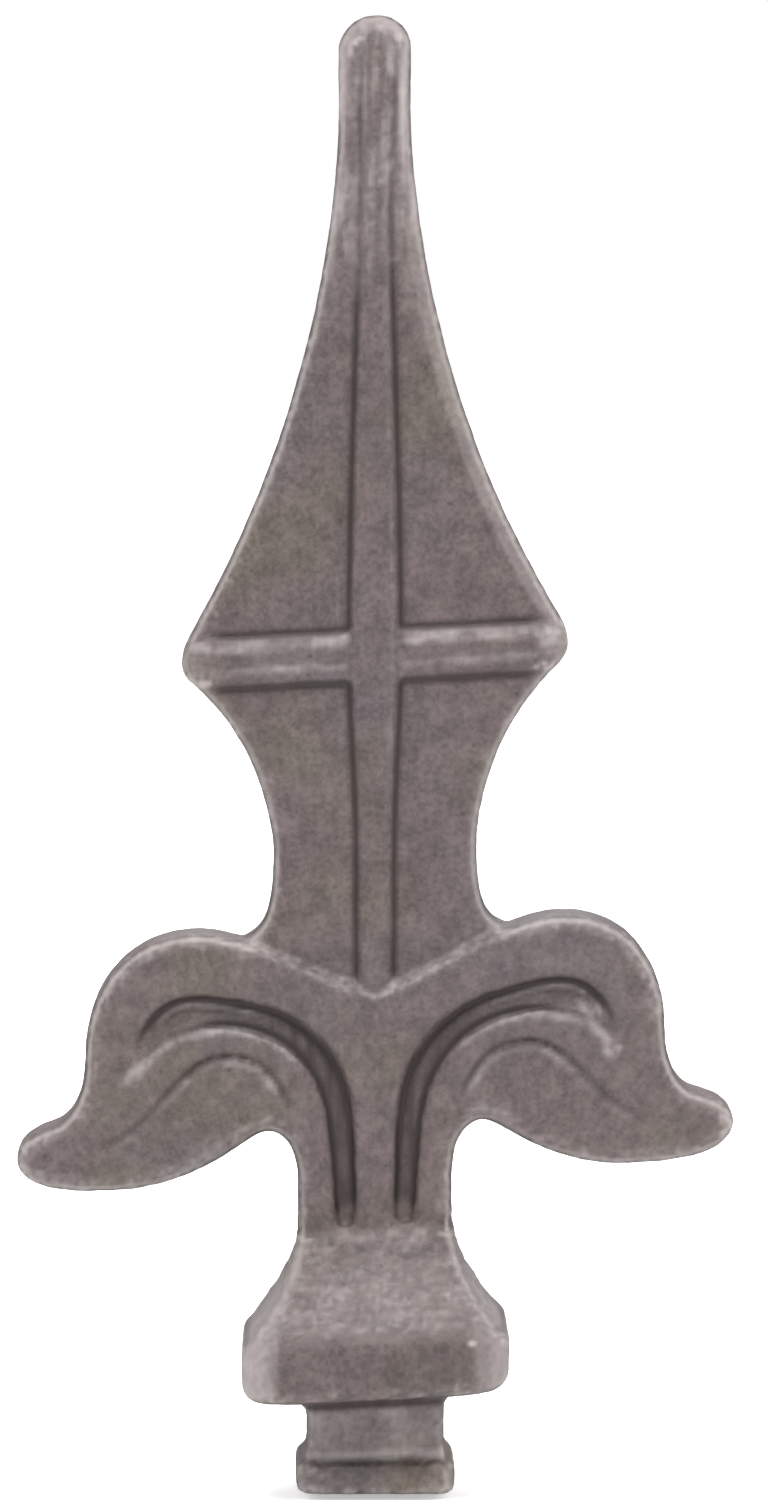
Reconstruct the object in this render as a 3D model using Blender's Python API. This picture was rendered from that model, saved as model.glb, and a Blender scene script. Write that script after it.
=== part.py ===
"""Cast iron spear point that plugs into the top of a square fence picket.

The body is one casting. X runs across its face, Y through its thickness and
Z up from the end of the stub. All lengths are in metres and all angles are in
degrees. The spear's outline is drawn for the right half and mirrored, its
front and its back are alike, and the whole ornament leans off square by a
small slope, as it was cast.
"""

import math

import bmesh
import bpy

# Heights above the stub's end
TOTAL_HEIGHT = 0.1473
CROSS_RIB_HEIGHT = 0.0837
NECK_HEIGHT = 0.0646
HUMP_HEIGHT = 0.0569
VALLEY_HEIGHT = 0.0501
LEAF_TIP_HEIGHT = 0.0352
CROOK_HEIGHT = 0.0366
STEM_TOP_HEIGHT = 0.0313
SEAT_HEIGHT = 0.0096
BEAD_TOP = 0.0033

# Half widths across the face
TIP_HALF_WIDTH = 0.00362
BLADE_HALF_WIDTH = 0.01935
NECK_HALF_WIDTH = 0.0102
NOTCH_REACH = 0.0130
LEAF_TIP_REACH = 0.0359
CROOK_REACH = 0.0108
STEM_HALF_WIDTH = 0.00775
COLLAR_HALF_WIDTH = 0.01335
STUB_HALF_WIDTH = 0.0069
BEAD_HALF_WIDTH = 0.0080

# Half thicknesses, from the middle plane to the face
BLADE_EDGE_HALF = 0.0021
PANEL_HALF = 0.0032
RIB_HALF = 0.0040
LEAF_EDGE_HALF = 0.0037
LEAF_HALF = 0.0050
LIP_HALF = 0.0056

# The tip's dome and rod, and the blade's blunt corners
TIP_DOME = 0.0034
ROD_LENGTH = 0.0026
BLADE_CORNER_RISE = 0.0033
BLADE_CORNER_RISE_INSET = 0.0011
BLADE_CORNER_DROP = 0.0023
BLADE_CORNER_DROP_INSET = 0.0014

# Places in a leaf: (share of its reach, share of its rise from tip to hump)
HUMP_SHARES = (0.515, 1.0)
LEAF_SIDE_SHARES = (0.808, 0.452)
LEAF_WAIST_SHARES = (0.877, 0.157)
LEAF_BOTTOM_SHARES = (0.724, -0.175)
CHANNEL_CREST_SHARES = (0.488, 0.641)
CHANNEL_END_SHARES = (0.643, 0.406)
VEIN_START_SHARES = (0.284, 0.309)
VEIN_CREST_SHARES = (0.426, 0.424)
VEIN_END_SHARES = (0.643, 0.111)

# The notches between blade and leaf, measured down from the hump
BLADE_NOTCH_DROP = 0.0008
LEAF_NOTCH_DROP = 0.0011

# How far the thin layer runs on inside the thick one
NOTCH_ROOT = 0.0032

# Rims and ribs
BLADE_RIM_WIDTH = 0.0019
LEAF_RIM_WIDTH = 0.0014
RIB_TOP_HALF_WIDTH = 0.0013
RIB_TOP_LENGTH = 0.0012
RIB_HALF_WIDTH = 0.0025
RIB_FOOT_HALF_WIDTH = 0.0018
RIB_FOOT_DEPTH = 0.0015
RIB_FOOT_POINT = 0.0010
RIB_WALL = 0.0003
RIB_WALL_RISE = 0.0003
RIB_CROWN_WIDTH = 0.0007
RIB_CROWN_RISE = 0.0002
CROSS_RIB_HALF_HEIGHT = 0.00253
CROSS_RIB_INSET = 0.0015
CROSS_RIB_TAPER = 0.0024
CROSS_RIB_END_DROP = 0.0012
CROSS_RIB_SIDE_DROP = 0.0006
CREST_CLEARANCE = 0.00005

# Channels and veins of the leaves
CHANNEL_STEM_WIDTH = 0.0022
CHANNEL_LEAF_WIDTH = 0.0034
CHANNEL_DEPTH = 0.0012
CHANNEL_REACH = 0.0033
CHANNEL_FOOT_INSET = 0.0004
CHANNEL_FOOT_RISE = 0.0010
VEIN_WIDTH = 0.0009
VEIN_DEPTH = 0.0005
CUTTER_RISE = 0.0004

# The stub with its bead, the collar and the shoulder
BEAD_CORNER = 0.0019
BEAD_EDGE_HEIGHT = 0.0011
BEAD_EDGE_DEPTH = 0.0006
BEAD_FILLET = 0.0013
STUB_CORNER = 0.0013
SEAT_FILLET = 0.0013
SEAT_RISE = 0.0004
COLLAR_ROUNDING = 0.0022
COLLAR_CORNER = 0.0036
BAND_HEIGHT = 0.0038
SHOULDER_HEIGHT = 0.0098
SHOULDER_STEP = 0.0003
SHOULDER_CLEARANCE = 0.00015
LIP_CORNER = 0.0010
LIP_RISE = 0.0009
LIP_SINK = 0.0004

# The lean of the ornament: rise per unit of distance to the right
LEAN = 0.0525
LEAN_START = 0.0010
LEAN_END = 0.0096

# Curves: direction out and its pull, direction in and its pull. Directions are
# in degrees and a pull is a share of the straight way between the two ends.
DOME_CURVE = (0, 0.40, -90, 0.38)
FLANK_CURVE = (-90, 0.009, -59.5, 0.567)
CORNER_TOP_CURVE = (-59.5, 0.374, -90, 0.374)
CORNER_LOW_CURVE = (-90, 0.371, -137, 0.334)
WAIST_CURVE = (-137, 0.531, -90, 0.054)
NECK_CURVE = (-90, 0.87, -35, 0.168)
VALLEY_CURVE = (20, 0.353, 18, 0.247)
HUMP_START_CURVE = (18, 0.394, 0, 0.358)
HUMP_CURVE = (0, 0.359, -90, 0.485)
LEAF_WAIST_CURVE = (-90, 0.466, -31, 0.247)
LEAF_POINT_CURVE = (-19, 0.396, -90, 0.378)
LEAF_BELLY_CURVE = (-90, 0.311, 180, 0.406)
LEAF_UNDER_CURVE = (180, 0.5625, 180, 0.1125)
CROOK_CURVE = (180, 0.219, -90, 0.673)
RIB_END_CURVE = (0, 0.34, -90, 0.34)
RIB_UPPER_CURVE = (-90, 0.426, -90, 0.375)
RIB_LOWER_CURVE = (-90, 0.419, -90, 0.209)
CHANNEL_STEM_CURVE = (88, 0.348, 88, 0.348)
CHANNEL_BEND_CURVE = (88, 0.431, 4, 0.497)
CHANNEL_END_CURVE = (4, 0.462, -88, 0.449)
VEIN_START_CURVE = (62, 0.211, 0, 0.352)
VEIN_END_CURVE = (0, 0.338, -48, 0.290)

# Shares of a size
RIM_STEPS = ((0.2, 0.45), (0.3, 0.32), (0.5, 0.23))
CROSS_RIB_END_SHARE = 0.62
CHANNEL_FLOOR_SHARE = 0.72
CHANNEL_FOOT_SHARE = 0.12
CHANNEL_SWELL_POWER = 0.8
CHANNEL_FADE_SHARE = 0.22
CHANNEL_END_DEPTH_SHARE = 0.25
VEIN_FLOOR_SHARE = 0.55
VEIN_END_SHARE = 0.35
VEIN_END_WIDTH_SHARE = 0.74
VEIN_SWELL_POWER = 0.6
SHOULDER_FACE_POWER = 1.6
SHOULDER_SIDE_POWER = 1.25
SHOULDER_CORNER_POWER = 1.2

# Smoothness
FLANK_STEPS = 24
LONG_STEPS = 14
CURVE_STEPS = 8
SHORT_STEPS = 5
ROUNDING_STEPS = 4
CORNER_STEPS = 5
SHOULDER_STEPS = 12
SHARP_ANGLE = 32

IRON = (0.19, 0.165, 0.155, 1.0)
IRON_ROUGHNESS = 0.62
IRON_METALLIC = 0.55

# Heights that follow from the sizes above
COLLAR_BOTTOM = SEAT_HEIGHT + SEAT_RISE + COLLAR_ROUNDING
BAND_TOP = COLLAR_BOTTOM + BAND_HEIGHT
LIP_HEIGHT = BAND_TOP + SHOULDER_HEIGHT


def curve(start, end, bend, steps=CURVE_STEPS):
    """Points of a smooth curve from start to end, without the start."""
    leave, leave_pull, arrive, arrive_pull = bend
    straight = math.dist(start, end)
    a = math.radians(leave)
    b = math.radians(arrive)
    out = leave_pull * straight
    back = arrive_pull * straight
    handle_a = (start[0] + out * math.cos(a), start[1] + out * math.sin(a))
    handle_b = (end[0] - back * math.cos(b), end[1] - back * math.sin(b))
    points = []
    for i in range(1, steps + 1):
        t = i / steps
        s = 1 - t
        shares = (s**3, 3 * s * s * t, 3 * s * t * t, t**3)
        corners = (start, handle_a, handle_b, end)
        x = sum(share * corner[0] for share, corner in zip(shares, corners))
        z = sum(share * corner[1] for share, corner in zip(shares, corners))
        points.append((x, z))
    return points


def mirrored(half):
    """A closed outline from its right half, which runs from top to bottom."""
    left = [(-x, z) for x, z in reversed(half) if x > 1e-7]
    return half + left


def blade_outline():
    """The thin layer: round tip, flared flanks, blunt corners and neck."""
    top = (0.0, TOTAL_HEIGHT)
    corner = (BLADE_HALF_WIDTH, CROSS_RIB_HEIGHT)
    above = (BLADE_HALF_WIDTH - BLADE_CORNER_RISE_INSET, CROSS_RIB_HEIGHT + BLADE_CORNER_RISE)
    below = (BLADE_HALF_WIDTH - BLADE_CORNER_DROP_INSET, CROSS_RIB_HEIGHT - BLADE_CORNER_DROP)
    shoulder = (TIP_HALF_WIDTH, TOTAL_HEIGHT - TIP_DOME)
    rod_end = (TIP_HALF_WIDTH, TOTAL_HEIGHT - TIP_DOME - ROD_LENGTH)
    neck = (NECK_HALF_WIDTH, NECK_HEIGHT)
    notch = (NOTCH_REACH, HUMP_HEIGHT - BLADE_NOTCH_DROP)
    root = NOTCH_REACH + NOTCH_ROOT
    half = [top]
    half += curve(top, shoulder, DOME_CURVE)
    half += [rod_end]
    half += curve(rod_end, above, FLANK_CURVE, FLANK_STEPS)
    half += curve(above, corner, CORNER_TOP_CURVE, SHORT_STEPS)
    half += curve(corner, below, CORNER_LOW_CURVE, SHORT_STEPS)
    half += curve(below, neck, WAIST_CURVE, LONG_STEPS)
    half += curve(neck, notch, NECK_CURVE, LONG_STEPS)
    half += [
        (root, notch[1] - NOTCH_ROOT),
        (root, VALLEY_HEIGHT - NOTCH_ROOT),
        (0.0, VALLEY_HEIGHT - NOTCH_ROOT),
    ]
    return mirrored(half)


def in_leaf(shares):
    """A point of the right leaf from its shares of reach and rise."""
    out, up = shares
    return (out * LEAF_TIP_REACH, LEAF_TIP_HEIGHT + up * (HUMP_HEIGHT - LEAF_TIP_HEIGHT))


def leaf_outline():
    """The thick layer: the valley over the neck, two curled leaves and the stem."""
    valley = (0.0, VALLEY_HEIGHT)
    notch = (NOTCH_REACH, HUMP_HEIGHT - LEAF_NOTCH_DROP)
    hump = in_leaf(HUMP_SHARES)
    side = in_leaf(LEAF_SIDE_SHARES)
    waist = in_leaf(LEAF_WAIST_SHARES)
    bottom = in_leaf(LEAF_BOTTOM_SHARES)
    tip = (LEAF_TIP_REACH, LEAF_TIP_HEIGHT)
    crook = (CROOK_REACH, CROOK_HEIGHT)
    stem = (STEM_HALF_WIDTH, STEM_TOP_HEIGHT)
    half = [valley]
    half += curve(valley, notch, VALLEY_CURVE)
    half += curve(notch, hump, HUMP_START_CURVE)
    half += curve(hump, side, HUMP_CURVE, LONG_STEPS)
    half += curve(side, waist, LEAF_WAIST_CURVE)
    half += curve(waist, tip, LEAF_POINT_CURVE)
    half += curve(tip, bottom, LEAF_BELLY_CURVE, LONG_STEPS)
    half += curve(bottom, crook, LEAF_UNDER_CURVE, LONG_STEPS)
    half += curve(crook, stem, CROOK_CURVE)
    half += [(STEM_HALF_WIDTH, BAND_TOP), (0.0, BAND_TOP)]
    return mirrored(half)


def rib_outline():
    """The upright rib, widest at the cross rib and narrow at both ends."""
    top = (0.0, TOTAL_HEIGHT - TIP_DOME)
    upper = (RIB_TOP_HALF_WIDTH, TOTAL_HEIGHT - TIP_DOME - RIB_TOP_LENGTH)
    middle = (RIB_HALF_WIDTH, CROSS_RIB_HEIGHT)
    foot = (RIB_FOOT_HALF_WIDTH, NECK_HEIGHT)
    end = (RIB_FOOT_HALF_WIDTH, VALLEY_HEIGHT - RIB_FOOT_DEPTH)
    half = [top]
    half += curve(top, upper, RIB_END_CURVE, SHORT_STEPS)
    half += curve(upper, middle, RIB_UPPER_CURVE)
    half += curve(middle, foot, RIB_LOWER_CURVE)
    half += [end, (0.0, end[1] - RIB_FOOT_POINT)]
    return mirrored(half)


def add_mesh(name, bm):
    """Turns a bmesh into a named object with its normals facing out."""
    bmesh.ops.recalc_face_normals(bm, faces=bm.faces)
    mesh = bpy.data.meshes.new(name)
    bm.to_mesh(mesh)
    bm.free()
    ob = bpy.data.objects.new(name, mesh)
    bpy.context.scene.collection.objects.link(ob)
    return ob


def plate(name, outline, edge_half, rim):
    """A plate with both faces alike, crowned by the steps of its rim.

    rim is a list of (width, rise): each step runs that far in from the edge
    and lifts the face by that much.
    """
    bm = bmesh.new()
    verts = [bm.verts.new((x, -edge_half, z)) for x, z in outline]
    face = bm.faces.new(verts)
    grown = bmesh.ops.extrude_face_region(bm, geom=[face])
    moved = [g for g in grown["geom"] if isinstance(g, bmesh.types.BMVert)]
    bmesh.ops.translate(bm, verts=moved, vec=(0.0, 2 * edge_half, 0.0))
    bmesh.ops.recalc_face_normals(bm, faces=bm.faces)
    caps = [f for f in bm.faces if len(f.verts) == len(outline)]
    for cap in caps:
        for width, rise in rim:
            bmesh.ops.inset_region(
                bm, faces=[cap], thickness=width, depth=rise, use_even_offset=True
            )
    return add_mesh(name, bm)


def rounded_square(half_x, half_y, corner):
    """One turn round a square with rounded corners, counterclockwise from above."""
    points = []
    for turn, (sx, sy) in enumerate(((1, 1), (-1, 1), (-1, -1), (1, -1))):
        for i in range(CORNER_STEPS + 1):
            angle = math.radians(90 * (turn + i / CORNER_STEPS))
            points.append(
                (
                    sx * (half_x - corner) + corner * math.cos(angle),
                    sy * (half_y - corner) + corner * math.sin(angle),
                )
            )
    return points


def rounding(steps=ROUNDING_STEPS):
    """(sine, one less cosine) over a quarter turn."""
    turns = [math.radians(90 * i / steps) for i in range(steps + 1)]
    return [(math.sin(turn), 1 - math.cos(turn)) for turn in turns]


def base_sections():
    """(height, half width, half thickness, corner) of the stub, collar and shoulder."""
    end_face = BEAD_HALF_WIDTH - BEAD_EDGE_DEPTH
    rows = []
    for sine, rest in rounding():
        half = end_face + BEAD_EDGE_DEPTH * sine
        rows.append((BEAD_EDGE_HEIGHT * rest, half, half, BEAD_CORNER))
    for sine, rest in rounding():
        half = BEAD_HALF_WIDTH - BEAD_EDGE_DEPTH * rest
        rows.append((BEAD_TOP - BEAD_EDGE_HEIGHT * (1 - sine), half, half, BEAD_CORNER))
    for sine, rest in rounding()[1:]:
        half = STUB_HALF_WIDTH + (end_face - STUB_HALF_WIDTH) * (1 - sine)
        rows.append((BEAD_TOP + BEAD_FILLET * rest, half, half, STUB_CORNER))
    for sine, rest in rounding():
        half = STUB_HALF_WIDTH + SEAT_FILLET * rest
        rows.append((SEAT_HEIGHT - SEAT_FILLET * (1 - sine), half, half, STUB_CORNER))
    for sine, rest in rounding():
        half = COLLAR_HALF_WIDTH - COLLAR_ROUNDING * (1 - sine)
        height = SEAT_HEIGHT + SEAT_RISE + COLLAR_ROUNDING * rest
        rows.append((height, half, half, COLLAR_CORNER))
    shoulder_edge = COLLAR_HALF_WIDTH - SHOULDER_STEP
    neck = STEM_HALF_WIDTH + SHOULDER_CLEARANCE
    rows.append((BAND_TOP - SHOULDER_STEP, COLLAR_HALF_WIDTH, COLLAR_HALF_WIDTH, COLLAR_CORNER))
    for i in range(SHOULDER_STEPS + 1):
        t = i / SHOULDER_STEPS
        # A straight slope that eases into the stem near its top
        half_x = neck + (shoulder_edge - neck) * (1 - t) ** SHOULDER_FACE_POWER
        half_y = LIP_HALF + (shoulder_edge - LIP_HALF) * (1 - t) ** SHOULDER_SIDE_POWER
        corner = LIP_CORNER + (COLLAR_CORNER - LIP_CORNER) * (1 - t) ** SHOULDER_CORNER_POWER
        rows.append((BAND_TOP + t * SHOULDER_HEIGHT, half_x, half_y, corner))
    rows.append((LIP_HEIGHT + LIP_RISE, STEM_HALF_WIDTH - LIP_SINK, LEAF_HALF - LIP_SINK, LIP_CORNER))
    return rows


def skin_loops(bm, loops):
    """Joins closed loops of points, one after another, and closes both ends."""
    for low, high in zip(loops, loops[1:]):
        count = len(low)
        for i in range(count):
            j = (i + 1) % count
            bm.faces.new((low[i], low[j], high[j], high[i]))
    bm.faces.new(list(reversed(loops[0])))
    bm.faces.new(loops[-1])


def base(name):
    """The stub with its bead, the collar and the shoulder, as one skin."""
    bm = bmesh.new()
    loops = []
    for z, half_x, half_y, corner in base_sections():
        loops.append([bm.verts.new((x, y, z)) for x, y in rounded_square(half_x, half_y, corner)])
    skin_loops(bm, loops)
    return add_mesh(name, bm)


def cross_rib(name):
    """The level rib, ridged along its middle and tapered into both corners."""
    reach = BLADE_HALF_WIDTH - CROSS_RIB_INSET
    crest = RIB_HALF - CREST_CLEARANCE
    wall = RIB_HALF - CROSS_RIB_SIDE_DROP
    shoulder = RIB_HALF - CROSS_RIB_SIDE_DROP / 2
    half_height = CROSS_RIB_HALF_HEIGHT
    front = [
        (half_height, wall),
        (half_height - RIB_WALL, shoulder),
        (RIB_WALL, crest),
        (-RIB_WALL, crest),
        (-half_height + RIB_WALL, shoulder),
        (-half_height, wall),
    ]
    section = [(z, -y) for z, y in front] + [(z, y) for z, y in reversed(front)]
    bm = bmesh.new()
    loops = []
    for x, tall, sunk in (
        (-reach, CROSS_RIB_END_SHARE, CROSS_RIB_END_DROP),
        (-reach + CROSS_RIB_TAPER, 1.0, 0.0),
        (reach - CROSS_RIB_TAPER, 1.0, 0.0),
        (reach, CROSS_RIB_END_SHARE, CROSS_RIB_END_DROP),
    ):
        ring = []
        for z, y in section:
            inner = y - math.copysign(sunk, y)
            ring.append(bm.verts.new((x, inner, CROSS_RIB_HEIGHT + z * tall)))
        loops.append(ring)
    skin_loops(bm, loops)
    return add_mesh(name, bm)


def channel_path():
    """The middle of one channel, from its foot on the stem to its end in the leaf."""
    foot = (CHANNEL_REACH - CHANNEL_FOOT_INSET, LIP_HEIGHT + CHANNEL_FOOT_RISE)
    bend = (CHANNEL_REACH, CROOK_HEIGHT - CHANNEL_FOOT_RISE)
    crest = in_leaf(CHANNEL_CREST_SHARES)
    end = in_leaf(CHANNEL_END_SHARES)
    points = [foot]
    points += curve(foot, bend, CHANNEL_STEM_CURVE, SHORT_STEPS)
    points += curve(bend, crest, CHANNEL_BEND_CURVE, LONG_STEPS)
    points += curve(crest, end, CHANNEL_END_CURVE)
    return points


def vein_path():
    """The fine line on the lower lobe of a leaf."""
    start = in_leaf(VEIN_START_SHARES)
    crest = in_leaf(VEIN_CREST_SHARES)
    end = in_leaf(VEIN_END_SHARES)
    points = [start]
    points += curve(start, crest, VEIN_START_CURVE)
    points += curve(crest, end, VEIN_END_CURVE)
    return points


def trench(name, path, widths, depths, floor, side):
    """A cutter that follows a path on both faces and leaves a sloped trench.

    widths and depths hold one value for each point of the path, floor is the
    floor's share of the width, and side is 1 or -1 for the right or left leaf.
    """
    bm = bmesh.new()
    rings = []
    last = len(path) - 1
    for i, (x, z) in enumerate(path):
        before = path[max(i - 1, 0)]
        after = path[min(i + 1, last)]
        size = math.dist(before, after)
        nx = (before[1] - after[1]) / size
        nz = (after[0] - before[0]) / size
        mouth = widths[i] / 2 * (1 + (1 - floor) * CUTTER_RISE / depths[i])
        bed = widths[i] / 2 * floor
        ring = []
        for offset, height in (
            (-mouth, LEAF_HALF + CUTTER_RISE),
            (mouth, LEAF_HALF + CUTTER_RISE),
            (bed, LEAF_HALF - depths[i]),
            (-bed, LEAF_HALF - depths[i]),
        ):
            ring.append(bm.verts.new((side * (x + nx * offset), -height, z + nz * offset)))
        rings.append(ring)
    skin_loops(bm, rings)
    back = bmesh.ops.duplicate(bm, geom=list(bm.faces))
    flipped = [g for g in back["geom"] if isinstance(g, bmesh.types.BMVert)]
    bmesh.ops.scale(bm, verts=flipped, vec=(1.0, -1.0, 1.0))
    ob = add_mesh(name, bm)
    ob.hide_render = True
    ob.display_type = "WIRE"
    return ob


def channel_cutter(side):
    """The broad channel that climbs the stem and turns over in the leaf."""
    path = channel_path()
    last = len(path) - 1
    widths = []
    depths = []
    for i in range(last + 1):
        t = i / last
        climb = max(0.0, (t - CHANNEL_FOOT_SHARE) / (1 - CHANNEL_FOOT_SHARE))
        swell = math.sin(math.pi * climb**CHANNEL_SWELL_POWER)
        widths.append(CHANNEL_STEM_WIDTH + (CHANNEL_LEAF_WIDTH - CHANNEL_STEM_WIDTH) * swell)
        fade = min(1.0, (1 - t) / CHANNEL_FADE_SHARE)
        share = CHANNEL_END_DEPTH_SHARE + (1 - CHANNEL_END_DEPTH_SHARE) * fade
        depths.append(CHANNEL_DEPTH * share)
    return trench("channel_cutter", path, widths, depths, CHANNEL_FLOOR_SHARE, side)


def vein_cutter(side):
    """The fine line below the channel, shallow at both of its ends."""
    path = vein_path()
    last = len(path) - 1
    widths = []
    depths = []
    for i in range(last + 1):
        middle = max(0.0, math.sin(math.pi * i / last)) ** VEIN_SWELL_POWER
        depths.append(VEIN_DEPTH * (VEIN_END_SHARE + (1 - VEIN_END_SHARE) * middle))
        widths.append(VEIN_WIDTH * (VEIN_END_WIDTH_SHARE + (1 - VEIN_END_WIDTH_SHARE) * middle))
    return trench("vein_cutter", path, widths, depths, VEIN_FLOOR_SHARE, side)


def combine(target, other, operation):
    """Applies a Boolean of one object to another and removes the second."""
    modifier = target.modifiers.new("combine", "BOOLEAN")
    modifier.operation = operation
    modifier.solver = "EXACT"
    modifier.object = other
    depsgraph = bpy.context.evaluated_depsgraph_get()
    mesh = bpy.data.meshes.new_from_object(target.evaluated_get(depsgraph))
    target.modifiers.remove(modifier)
    old = target.data
    target.data = mesh
    bpy.data.meshes.remove(old)
    bpy.data.objects.remove(other)


def lean(ob):
    """Tilts the level lines of the casting, from nothing at the stub's end."""
    for vert in ob.data.vertices:
        t = (vert.co.z - LEAN_START) / (LEAN_END - LEAN_START)
        t = min(1.0, max(0.0, t))
        vert.co.z += LEAN * t * t * (3 - 2 * t) * vert.co.x


def iron():
    """Dull grey brown cast iron."""
    material = bpy.data.materials.new("cast_iron")
    material.use_nodes = True
    shader = material.node_tree.nodes["Principled BSDF"]
    shader.inputs["Base Color"].default_value = IRON
    shader.inputs["Roughness"].default_value = IRON_ROUGHNESS
    shader.inputs["Metallic"].default_value = IRON_METALLIC
    return material


def build():
    """Makes the spear point."""
    for ob in list(bpy.data.objects):
        bpy.data.objects.remove(ob)
    rise = PANEL_HALF - BLADE_EDGE_HALF
    blade_rim = [(width * BLADE_RIM_WIDTH, share * rise) for width, share in RIM_STEPS]
    body = plate("spear_point_casting", blade_outline(), BLADE_EDGE_HALF, blade_rim)
    crown = [(RIB_WALL, RIB_WALL_RISE), (RIB_CROWN_WIDTH, RIB_CROWN_RISE)]
    rib = plate("rib", rib_outline(), RIB_HALF - RIB_WALL_RISE - RIB_CROWN_RISE, crown)
    combine(body, rib, "UNION")
    combine(body, cross_rib("cross_rib"), "UNION")
    rise = LEAF_HALF - LEAF_EDGE_HALF
    leaf_rim = [(width * LEAF_RIM_WIDTH, share * rise) for width, share in RIM_STEPS]
    leaves = plate("leaves", leaf_outline(), LEAF_EDGE_HALF, leaf_rim)
    for side in (1, -1):
        combine(leaves, channel_cutter(side), "DIFFERENCE")
        combine(leaves, vein_cutter(side), "DIFFERENCE")
    combine(body, leaves, "UNION")
    combine(body, base("base"), "UNION")
    lean(body)
    body.data.materials.clear()
    body.data.materials.append(iron())
    body.data.shade_smooth()
    body.data.set_sharp_from_angle(angle=math.radians(SHARP_ANGLE))
    return body


build()
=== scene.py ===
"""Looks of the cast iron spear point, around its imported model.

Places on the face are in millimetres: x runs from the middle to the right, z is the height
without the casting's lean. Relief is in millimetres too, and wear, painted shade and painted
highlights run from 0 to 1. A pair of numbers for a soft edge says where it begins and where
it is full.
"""

import math
from typing import NamedTuple

import bmesh
import bpy
import numpy as np
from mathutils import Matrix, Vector, kdtree, noise


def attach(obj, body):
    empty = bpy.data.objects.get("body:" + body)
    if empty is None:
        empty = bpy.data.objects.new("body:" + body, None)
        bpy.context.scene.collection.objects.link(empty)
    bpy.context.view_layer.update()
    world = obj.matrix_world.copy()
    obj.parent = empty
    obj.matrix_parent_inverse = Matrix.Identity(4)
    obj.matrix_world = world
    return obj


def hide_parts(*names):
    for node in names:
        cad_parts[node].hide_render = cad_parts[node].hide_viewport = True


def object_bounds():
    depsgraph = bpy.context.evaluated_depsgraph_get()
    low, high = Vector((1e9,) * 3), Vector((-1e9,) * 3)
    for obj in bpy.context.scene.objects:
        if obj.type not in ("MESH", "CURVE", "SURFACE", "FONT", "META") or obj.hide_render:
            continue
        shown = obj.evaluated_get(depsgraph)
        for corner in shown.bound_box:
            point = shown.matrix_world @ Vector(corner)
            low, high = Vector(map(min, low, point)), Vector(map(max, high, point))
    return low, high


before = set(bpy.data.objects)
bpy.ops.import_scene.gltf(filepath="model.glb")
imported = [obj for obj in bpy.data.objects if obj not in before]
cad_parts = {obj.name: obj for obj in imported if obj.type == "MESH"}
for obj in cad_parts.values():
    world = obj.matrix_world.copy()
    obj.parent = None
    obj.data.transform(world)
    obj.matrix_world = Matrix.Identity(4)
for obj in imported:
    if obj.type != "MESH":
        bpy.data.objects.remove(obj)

bl_info = {
    "name": "Cast iron spear point",
    "version": (1, 0, 0),
    "blender": (4, 5, 0),
    "location": "3D View > Sidebar > Spear point",
    "description": "Casts a fence spear point with worn, grainy iron and sets up its stage",
    "category": "Add Mesh",
}

MM = 0.001
CASTING = "spear_point_casting"
LOW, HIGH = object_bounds()

# Heights of single lines on the face
BEAD_FACE = 2.8
BEAD_CREASE = 3.4
BEAD_TOP = 4.0
COLLAR_SEAM = 9.0
COLLAR_EDGE = 16.0
SHOULDER_LEDGE = 19.0
STEM_FOOT = 25.4
DOME_START = 143.7

# Soft edges in height of the parts of the face
RUST_END = (3.0, 6.0)
STUB_END = (8.2, 9.2)
COLLAR_START = (10.4, 11.2)
BAND_START = (10.6, 11.6)
BAND_END = (14.6, 16.2)
SHOULDER_START = (15.0, 17.4)
SHOULDER_END = (25.6, 26.4)
COLLAR_END = (24.5, 27.0)
LEAVES_START = (28.0, 30.0)
LEAVES_END = (52.0, 53.5)
BLADE_START = (57.0, 60.0)
ROD_START = (104.0, 132.0)

# Half widths of the upright rib at the tip and at the leaves, the heights where it is narrow,
# widest and narrow again, and its grooves' distance from it
RIB_AT_TIP = 1.3
RIB_AT_LEAVES = 1.8
RIB_NARROW = 64.0
RIB_WIDEST = 84.0
RIB_TOP = 140.0
GROOVE_GAP = 0.15

# Relief: depth of the field under a vein, swell of a channel's bed, height and spread of a
# short ridge, and depth of the cross rib's crease
FIELD_DEPTH = 0.45
BED_SWELL = 0.40
RIDGE_HEIGHT = 0.14
RIDGE_SPREAD = 0.40
CREASE_DEPTH = 0.13

# Half thickness of the cross rib at the blade's corners and how much thinner it ends
CORNER_HALF_THICKNESS = 3.75
CORNER_THINNING = 1.1

# The rod's round head: half thickness, half width and how much of it is taken
HEAD_HALF_THICKNESS = 3.8
HEAD_HALF_WIDTH = 3.85
HEAD_SHARE = 0.85

# The collar's upper edge is worn rounder than the rest: spread, reach from the middle, rounds
ROUND_EDGE = 1.0
ROUND_REACH = 12.5
ROUND_TIMES = 24

# Layers of the sand-cast surface: scale for each millimetre, place in the noise and height.
# They are weaker all over, stronger on the collar's slope, and lie a little below the skin
SKIN_LAYERS = (
    (0.16, Vector((3.1, 7.7, 1.3)), 0.05),
    (0.55, Vector((11.0, 2.0, 5.0)), 0.06),
    (1.3, Vector((1.0, 9.0, 4.0)), 0.05),
)
SKIN_STRENGTH = 0.8
SLOPE_STRENGTH = 1.5
SKIN_DROP = 0.05
PATCH_PLACE = Vector((5.0, 3.0, 8.0))

# Marks of the skin, as its attributes are named: painted shade, painted highlights with rubbing,
# how far it faces sideways, and rust
SKIN_MARKS = ("shade_and_film", "highlit_and_worn", "sideways", "rusty")

# How strong each mark of painted shade is
GROOVE_DARK = 0.90
FOLD_DARK = 0.46
ROD_SIDES_DARK = 0.75
ROD_STREAKS_DARK = 0.42
SEAM_DARK = 0.75
CREASE_DARK = 0.60
BLOTCHES_DARK = 0.30
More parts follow.
